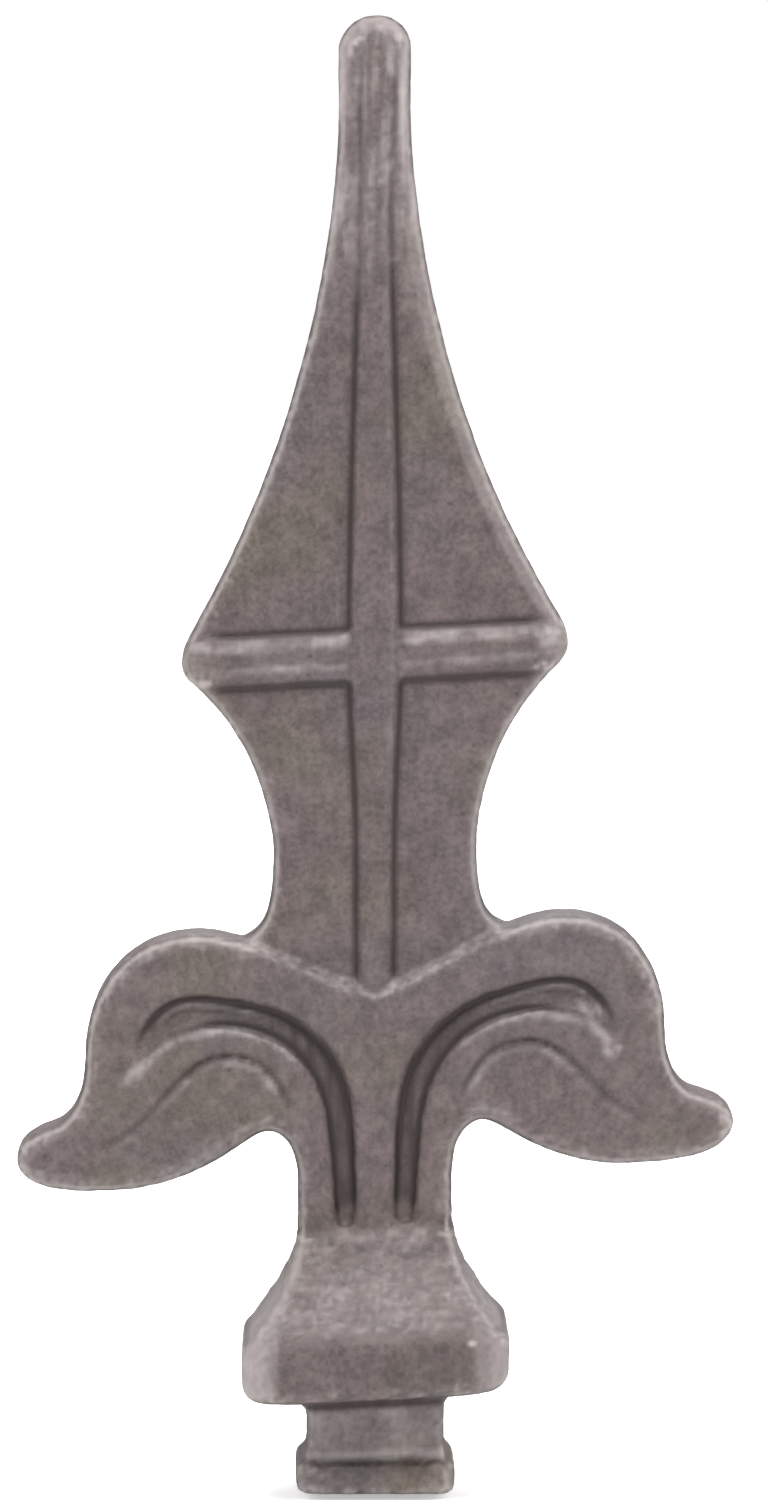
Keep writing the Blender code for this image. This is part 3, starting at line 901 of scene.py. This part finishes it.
def blade_highlights(p):
    """Painted highlights on the rib's right side, on the rod and on the leaves with their valley.
    """
    rib_side = bell(p.x - rib_half_width(p.z) + 0.75, 0.28) * between(p.z, (64, 70), (132, 138))
    rod = (0.24 + 0.24 * smooth(0.5, 1.1, p.streaks)) * p.rod
    valley = smooth(0.25, 0.6, p.upward) * between(p.z, (48.8, 49.6), (55.5, 56.5))
    valley = valley * (p.across < 13.6) * smooth(0.15, 0.4, p.flat) * (0.34 + 0.12 * p.broken)
    leaves = p.leaves * p.facing * (1 - p.bed)
    return strongest(RIB_SIDE_LIGHT * rib_side, rod, valley, LEAVES_LIGHT * leaves)


def base_highlights(p):
    """Painted light and highlights on the stem's foot, the collar's slope, the stub and its bead.
    """
    wander = 1.6 * (patchy(p.place, 0.8, stretch=(1.0, 0.0, 0.0)) - 0.8)
    lip = bell(p.z - STEM_FOOT + wander, 0.75) * (1 - smooth(4.8, 6.0, p.across)) * (p.flat > 0.3)
    shoulder = between(p.z, SHOULDER_START, SHOULDER_END) * (p.flat > 0.3)
    ledge = 0.22 + 0.08 * smooth(0.9, 1.4, p.broken) + 0.14 * bell(p.z - SHOULDER_LEDGE, 2.2)
    stub = (0.22 + 0.20 * smooth(3.4, 4.4, p.z)) * p.stub * p.facing
    bead_top = bell(p.z - BEAD_TOP, 0.50) * (p.flat > 0.05) * (p.across < 7.0)
    bead_face = bell(p.z - BEAD_FACE, 0.20) * (p.flat > 0.3) * (p.across < 6.2)
    bead = np.maximum(BEAD_TOP_LIGHT * bead_top, BEAD_FACE_LIGHT * bead_face)
    return strongest(LIP_LIGHT * lip, ledge * shoulder, stub, bead)


def painted_glints(p):
    """Painted glints on the front."""
    out = np.zeros(len(p.x))
    for x, z, reach, strength in GLINTS:
        far = np.hypot(p.x - x, p.z - z)
        out = np.maximum(out, strength * bell(far, reach) * p.broken * (p.normal[:, 1] < 0))
    return out


def mark_light_and_wear(mesh, x, z, lines):
    """Stores painted shade, highlights with rubbing, sideways facing and rust, for the skin's
    colours.
    """
    p = SkinPoints(mesh, x, z, lines)
    # Painted shade: hollows, grooves, the leaf's lines, channel beds, the rod, the seam, creases
    # and outline
    shade_and_film = strongest(
        hollow_shade(p),
        rib_shade(p),
        p.leaf_marks(LEAF_SHADE),
        bed_shade(p),
        rod_shade(p),
        base_shade(p),
        outline_shade(p),
    )
    # Painted highlights along the leaf's lines, the cross rib, the blade and the base
    scale = strongest(p.leaf_marks(LEAF_HIGHLIGHT), cross_rib_highlights(p), blade_highlights(p), base_highlights(p))
    scale = scale * (0.45 + 0.55 * p.broken) * (0.75 + 0.25 * p.patches)
    # Painted highlights along the short ridges
    ridges = RIDGE_LIGHT * ridge_strength(x, z, p.normal) * (0.55 + 0.45 * p.broken)
    # Painted highlights, with rubbing on the true edges, and painted glints
    highlit_and_worn = strongest(rim_highlights(p), edge_light(p), scale, ridges, painted_glints(p))
    # Painted shade on what faces sideways, which the roughness also reads to make the sides duller
    sideways = (1 - smooth(0.10, 0.42, p.flat)) * (1 - 0.9 * p.top) * (1 - 0.8 * p.collar)
    rusty = RUST_STRENGTH * p.patches * (1 - smooth(*RUST_END, z)) * smooth(0.0, 4.0, x)
    skin_marks = np.stack([shade_and_film, np.clip(highlit_and_worn, 0, 1), sideways, rusty], 1)
    for name, values in zip(SKIN_MARKS, neighbour_mean(mesh, skin_marks, 1).T):
        layer = mesh.attributes.new(name, "FLOAT", "POINT")
        layer.data.foreach_set("value", values.astype(np.float32))


def node(tree, kind, place=(0, 0), **values):
    """A new node of a kind at a place, with some of its settings."""
    made = tree.nodes.new(kind)
    made.location = place
    for key, value in values.items():
        setattr(made, key, value)
    return made


def speckle_group():
    """Cast grain as a group: fine grain, coarser mottle, flecks and a height."""
    tree = bpy.data.node_groups.new("cast_grain", "ShaderNodeTree")
    face = tree.interface
    face.new_socket(name="Vector", in_out="INPUT", socket_type="NodeSocketVector")
    for label, default in (("Fine scale", 1700.0), ("Coarse scale", 420.0)):
        socket = face.new_socket(name=label, in_out="INPUT", socket_type="NodeSocketFloat")
        socket.default_value = default
    for label in ("Grain", "Mottle", "Fleck", "Height"):
        face.new_socket(name=label, in_out="OUTPUT", socket_type="NodeSocketFloat")
    source = node(tree, "NodeGroupInput", (-800, 0))
    sink = node(tree, "NodeGroupOutput", (600, 0))
    fine = node(tree, "ShaderNodeTexNoise", (-500, 250))
    fine.inputs["Detail"].default_value = 4.0
    fine.inputs["Roughness"].default_value = 0.62
    coarse = node(tree, "ShaderNodeTexNoise", (-500, -50))
    coarse.inputs["Detail"].default_value = 3.0
    coarse.inputs["Roughness"].default_value = 0.55
    cells = node(tree, "ShaderNodeTexVoronoi", (-500, -350))
    fleck = node(tree, "ShaderNodeMapRange", (-200, -350))
    fleck.inputs["From Min"].default_value = 0.16
    fleck.inputs["From Max"].default_value = 0.04
    link = tree.links.new
    for texture in (fine, coarse, cells):
        link(source.outputs["Vector"], texture.inputs["Vector"])
    link(source.outputs["Fine scale"], fine.inputs["Scale"])
    link(source.outputs["Coarse scale"], coarse.inputs["Scale"])
    link(source.outputs["Coarse scale"], cells.inputs["Scale"])
    link(cells.outputs["Distance"], fleck.inputs["Value"])
    link(fine.outputs["Fac"], sink.inputs["Grain"])
    link(coarse.outputs["Fac"], sink.inputs["Mottle"])
    link(fleck.outputs["Result"], sink.inputs["Fleck"])
    height = node(tree, "ShaderNodeMath", (100, 200), operation="MULTIPLY_ADD")
    height.inputs[1].default_value = 0.6
    link(coarse.outputs["Fac"], height.inputs[0])
    link(fine.outputs["Fac"], height.inputs[2])
    link(height.outputs["Value"], sink.inputs["Height"])
    return tree


def mix(tree, place, factor, a, b, blend="MIX"):
    """A colour mix node. Factor, a and b are sockets, numbers or colours."""
    made = node(tree, "ShaderNodeMix", place, data_type="RGBA", blend_type=blend)
    for index, value in ((MIX_FACTOR, factor), (MIX_FIRST, a), (MIX_SECOND, b)):
        socket = made.inputs[index]
        if isinstance(value, bpy.types.NodeSocket):
            tree.links.new(value, socket)
        elif isinstance(value, (int, float)):
            socket.default_value = value
        else:
            socket.default_value = (*value, 1.0)
    return made.outputs[MIX_RESULT]


def ramp(tree, place, value, low, high, out_low=0.0, out_high=1.0):
    """A smooth range remap of a value socket."""
    made = node(tree, "ShaderNodeMapRange", place, interpolation_type="SMOOTHSTEP")
    made.inputs["From Min"].default_value = low
    made.inputs["From Max"].default_value = high
    made.inputs["To Min"].default_value = out_low
    made.inputs["To Max"].default_value = out_high
    tree.links.new(value, made.inputs["Value"])
    return made.outputs["Result"]


def patch_noise(tree, place, coordinates, scale, detail):
    """Soft patches of colour over the casting."""
    texture = node(tree, "ShaderNodeTexNoise", place)
    texture.inputs["Scale"].default_value = scale
    texture.inputs["Detail"].default_value = detail
    tree.links.new(coordinates, texture.inputs["Vector"])
    return texture.outputs["Fac"]


def iron_material():
    """Bare cast iron: brown grey, mottled, painted shade in hollows, rubbing and painted
    highlights on edges.
    """
    c = colours()
    material = bpy.data.materials.new("cast_iron_skin")
    material.use_nodes = True
    tree = material.node_tree
    shader = tree.nodes["Principled BSDF"]
    shader.location = (300, 0)
    coordinates = node(tree, "ShaderNodeTexCoord", (-1600, 0)).outputs["Object"]
    grain = node(tree, "ShaderNodeGroup", (-1300, 200), node_tree=speckle_group())
    tree.links.new(coordinates, grain.inputs["Vector"])
    patches = patch_noise(tree, (-1300, -200), coordinates, scale=45.0, detail=3.0)
    stains = patch_noise(tree, (-1300, -450), coordinates, scale=80.0, detail=4.0)
    skin_marks = {}
    for row, name in enumerate(SKIN_MARKS):
        place = (-1300, -700 - 200 * row)
        made = node(tree, "ShaderNodeAttribute", place, attribute_name=name)
        skin_marks[name] = made.outputs["Fac"]

    # Patches of colour, then grain and mottle, then pits, painted shade, rubbing with painted
    # highlights and painted side shade
    cool = ramp(tree, (-1000, -100), patches, 0.48, 0.66)
    olive = ramp(tree, (-1000, -250), stains, 0.50, 0.68)
    base = mix(tree, (-700, 0), cool, tuple(c.iron), tuple(c.iron_cool))
    base = mix(tree, (-550, 0), olive, base, tuple(c.iron_olive))
    base = mix(tree, (-480, 0), skin_marks["rusty"], base, tuple(c.rust))
    light = ramp(tree, (-1000, 350), grain.outputs["Mottle"], 0.28, 0.72, *MOTTLE_LIGHT)
    base = mix(tree, (-400, 0), 1.0, base, light, "MULTIPLY")
    light = ramp(tree, (-1000, 550), grain.outputs["Grain"], 0.30, 0.70, *GRAIN_LIGHT)
    base = mix(tree, (-250, 0), 1.0, base, light, "MULTIPLY")
    pits = ramp(tree, (-700, -500), grain.outputs["Fleck"], 0.1, 0.9, 0.0, PIT_FILM)
    base = mix(tree, (-180, 0), pits, base, tuple(c.shade_and_film))
    dark = ramp(tree, (-1000, -700), skin_marks["shade_and_film"], 0.04, 0.90, 0.0, HOLLOW_SHADE)
    base = mix(tree, (-100, 0), dark, base, tuple(c.shade_and_film))
    highlit_and_rubbed = ramp(tree, (-1000, -900), skin_marks["highlit_and_worn"], 0.10, 1.0, 0.0, HIGHLIT_AND_RUBBED)
    base = mix(tree, (50, 0), highlit_and_rubbed, base, tuple(c.highlight_and_worn))
    shade = ramp(tree, (-1000, -1100), skin_marks["sideways"], 0.35, 1.0, 0.0, SIDE_SHADE)
    base = mix(tree, (200, 0), shade, base, tuple(c.shade_and_film))
    tree.links.new(base, shader.inputs["Base Color"])

    rough = ramp(tree, (-700, 400), grain.outputs["Grain"], 0.3, 0.7, *ROUGHNESS)
    duller = ramp(tree, (-700, 550), skin_marks["sideways"], 0.0, 1.0, 1.0, SIDE_DULLNESS)
    rough = mix(tree, (-250, 400), 1.0, rough, duller, "MULTIPLY")
    tree.links.new(rough, shader.inputs["Roughness"])
    shader.inputs["Metallic"].default_value = 0.20
    shader.inputs["Specular IOR Level"].default_value = 0.30
    bump = node(tree, "ShaderNodeBump", (0, -400))
    bump.inputs["Strength"].default_value = 0.6
    bump.inputs["Distance"].default_value = 0.00014
    tree.links.new(grain.outputs["Height"], bump.inputs["Height"])
    tree.links.new(bump.outputs["Normal"], shader.inputs["Normal"])
    return material


class SPEAR_OT_casting(bpy.types.Operator):
    """Casts the spear point with its softened edges, relief and iron skin"""

    bl_idname = "spear.casting"
    bl_label = "Cast the spear point"

    def execute(self, context):
        skin = fine_skin(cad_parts[CASTING], "spear_point_iron")
        mesh = skin.data
        x, z = face_points(read_vertices(mesh)[0])
        lines = relief_lines(x, z)
        cast_relief(mesh, x, z, lines)
        cast_grain(mesh)
        mark_light_and_wear(mesh, x, z, lines)
        mesh.materials.clear()
        mesh.materials.append(iron_material())
        mesh.shade_smooth()
        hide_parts(CASTING)
        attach(skin, "root")
        return {"FINISHED"}


def area_light(name, place, aim, size, power):
    """A soft lamp that points at a place."""
    data = bpy.data.lights.new(name, "AREA")
    data.shape = "RECTANGLE"
    data.size, data.size_y = size
    data.energy = power
    lamp = bpy.data.objects.new(name, data)
    bpy.context.scene.collection.objects.link(lamp)
    lamp.location = place
    lamp.rotation_euler = (Vector(aim) - Vector(place)).to_track_quat("-Z", "Y").to_euler()


def floor_material():
    """Pale floor that glows a little, more so far away, where no lamp reaches."""
    material = bpy.data.materials.new("pale_floor")
    material.use_nodes = True
    tree = material.node_tree
    shader = tree.nodes["Principled BSDF"]
    shader.inputs["Base Color"].default_value = (*colours().ground, 1.0)
    shader.inputs["Roughness"].default_value = 0.9
    place = node(tree, "ShaderNodeTexCoord", (-900, 0))
    far = node(tree, "ShaderNodeVectorMath", (-700, 0), operation="LENGTH")
    tree.links.new(place.outputs["Object"], far.inputs[0])
    glow = ramp(tree, (-500, 0), far.outputs["Value"], *GLOW_REACH, *FLOOR_GLOW)
    white = mix(tree, (-250, 0), glow, (0.0, 0.0, 0.0), (1.0, 1.0, 1.0))
    tree.links.new(white, shader.inputs["Emission Color"])
    shader.inputs["Emission Strength"].default_value = 1.0
    return material


def pale_floor(radius, gap):
    """A round floor just under the stub's end."""
    bm = bmesh.new()
    bmesh.ops.create_circle(bm, cap_ends=True, segments=FLOOR_CORNERS, radius=radius)
    bmesh.ops.translate(bm, verts=bm.verts, vec=(0.0, 0.0, -gap))
    mesh = bpy.data.meshes.new("floor")
    bm.to_mesh(mesh)
    bm.free()
    mesh.materials.append(floor_material())
    floor = bpy.data.objects.new("floor", mesh)
    bpy.context.scene.collection.objects.link(floor)
    return floor


def soft_room(strength):
    """A white room: bright behind the casting and dimmer as a source of light."""
    world = bpy.data.worlds.new("soft_room")
    world.use_nodes = True
    tree = world.node_tree
    seen = node(tree, "ShaderNodeLightPath", (-600, 0))
    level = node(tree, "ShaderNodeMapRange", (-300, 0))
    level.inputs["To Min"].default_value = strength
    level.inputs["To Max"].default_value = 1.0
    tree.links.new(seen.outputs["Is Camera Ray"], level.inputs["Value"])
    background = tree.nodes["Background"]
    background.inputs["Color"].default_value = (1.0, 1.0, 1.0, 1.0)
    tree.links.new(level.outputs["Result"], background.inputs["Strength"])
    return world


def photo_camera(stage):
    """The camera at the photo's angle."""
    data = bpy.data.cameras.new("photo_camera")
    data.sensor_width = 36.0
    data.lens = stage.camera_lens
    data.clip_start = 0.05
    camera = bpy.data.objects.new("photo_camera", data)
    bpy.context.scene.collection.objects.link(camera)
    turn = stage.camera_turn
    reach = stage.camera_reach
    camera.location = (reach * math.sin(turn), -reach * math.cos(turn), stage.camera_height)
    camera.rotation_euler = (CAMERA_AIM - camera.location).to_track_quat("-Z", "Y").to_euler()
    return camera


class SPEAR_OT_stage(bpy.types.Operator):
    """Lays a pale floor under the casting and sets its lights and camera"""

    bl_idname = "spear.stage"
    bl_label = "Set the stage"

    def execute(self, context):
        stage = context.scene.casting_stage
        floor = pale_floor(stage.floor_radius, stage.floor_gap)
        context.scene.world = soft_room(stage.room_light)
        for lamp in LAMPS:
            area_light(*lamp)
        context.scene.camera = photo_camera(stage)
        context.scene.view_settings.view_transform = "Standard"
        return {"FINISHED"}


class SPEAR_PT_panel(bpy.types.Panel):
    """Lists the casting, its sizes, its colours and its stage"""

    bl_idname = "SPEAR_PT_panel"
    bl_label = "Spear point"
    bl_space_type = "VIEW_3D"
    bl_region_type = "UI"
    bl_category = "Spear point"

    def draw(self, context):
        layout = self.layout
        scene = context.scene
        for group in (scene.casting_sizes, scene.casting_colours, scene.casting_stage):
            box = layout.box()
            for name in group.bl_rna.properties.keys():
                if name not in {"rna_type", "name"}:
                    box.prop(group, name)
        layout.operator(SPEAR_OT_casting.bl_idname)
        layout.operator(SPEAR_OT_stage.bl_idname)


CLASSES = (
    CastingSizes,
    CastingColours,
    CastingStage,
    SPEAR_OT_casting,
    SPEAR_OT_stage,
    SPEAR_PT_panel,
)


def register():
    """Makes the sizes, colours, operators and panel known."""
    for cls in CLASSES:
        bpy.utils.register_class(cls)
    bpy.types.Scene.casting_sizes = bpy.props.PointerProperty(type=CastingSizes)
    bpy.types.Scene.casting_colours = bpy.props.PointerProperty(type=CastingColours)
    bpy.types.Scene.casting_stage = bpy.props.PointerProperty(type=CastingStage)


def unregister():
    """Takes them back."""
    del bpy.types.Scene.casting_stage
    del bpy.types.Scene.casting_colours
    del bpy.types.Scene.casting_sizes
    for cls in reversed(CLASSES):
        bpy.utils.unregister_class(cls)


def main():
    """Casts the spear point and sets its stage."""
    register()
    bpy.ops.spear.casting()
    bpy.ops.spear.stage()


if __name__ == "__main__":
    main()
